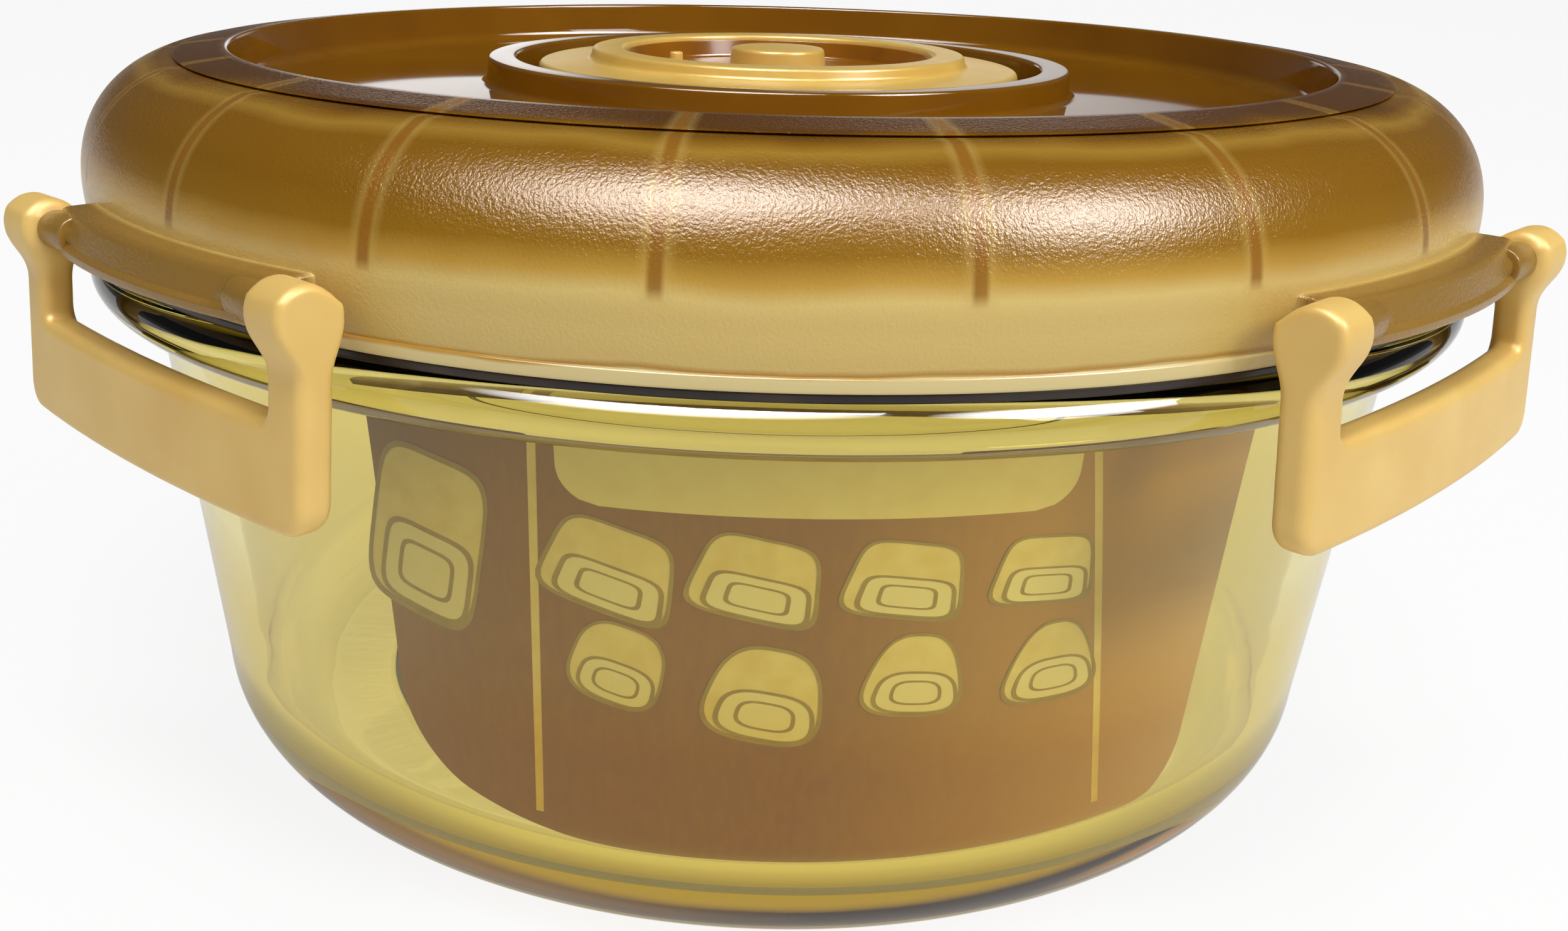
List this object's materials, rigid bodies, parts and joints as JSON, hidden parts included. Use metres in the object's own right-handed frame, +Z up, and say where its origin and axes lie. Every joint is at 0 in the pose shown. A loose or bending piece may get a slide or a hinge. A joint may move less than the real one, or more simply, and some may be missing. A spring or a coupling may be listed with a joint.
{
  "type": "lidded glass food bowl",
  "caption": "Round amber glass food bowl with a domed translucent lid, silicone seal, swinging latches that hook under the rim and a pull-up vent.",
  "frame": {"origin": "centre of the base, on the surface the bowl stands on", "axes": "+Z up along the bowl's axis; the latches hang at -Y (front), +X, +Y and -X"},
  "size_m": [0.1812, 0.1812, 0.0873],
  "materials": {
    "glass": "amber pressed glass, polished",
    "card": "printed kraft card",
    "lid": "translucent honey-amber plastic, frosted shoulder and glossy deck",
    "seal": "dark silicone",
    "vent": "cream moulded plastic, satin",
    "vent_silicone": "milky silicone",
    "vent_clip": "cream moulded plastic",
    "latch": "cream-yellow moulded plastic, fine satin"
  },
  "bodies": {
    "bowl": {"glass_bowl": "glass", "card_insert": "card"},
    "lid": {"lid_shell": "lid", "lid_deck": "lid", "lid_hub": "lid", "lid_seal": "seal"},
    "vent": {"vent_cap": "vent", "vent_seal": "vent_silicone", "vent_retainer": "vent_clip"},
    "latch_front": {"latch_front": "latch"},
    "latch_right": {"latch_right": "latch"},
    "latch_back": {"latch_back": "latch"},
    "latch_left": {"latch_left": "latch"}
  },
  "joints": [
    {"name": "lid_lift", "type": "slide", "parent": "bowl", "child": "lid", "axis": [0, 0, 1], "range_m": [0, 0.09]},
    {"name": "latch_front_swing", "type": "hinge", "parent": "lid", "child": "latch_front", "pos_m": [0, -0.0866, 0.0712], "axis": [-1, 0, 0], "range_deg": [-7, 120]},
    {"name": "latch_right_swing", "type": "hinge", "parent": "lid", "child": "latch_right", "pos_m": [0.0866, 0, 0.0712], "axis": [0, -1, 0], "range_deg": [-7, 120]},
    {"name": "latch_back_swing", "type": "hinge", "parent": "lid", "child": "latch_back", "pos_m": [0, 0.0866, 0.0712], "axis": [1, 0, 0], "range_deg": [-7, 120]},
    {"name": "latch_left_swing", "type": "hinge", "parent": "lid", "child": "latch_left", "pos_m": [-0.0866, 0, 0.0712], "axis": [0, 1, 0], "range_deg": [-7, 120]},
    {"name": "vent_lift", "type": "slide", "parent": "lid", "child": "vent", "axis": [0, 0, 1], "range_m": [0, 0.003]}
  ]
}
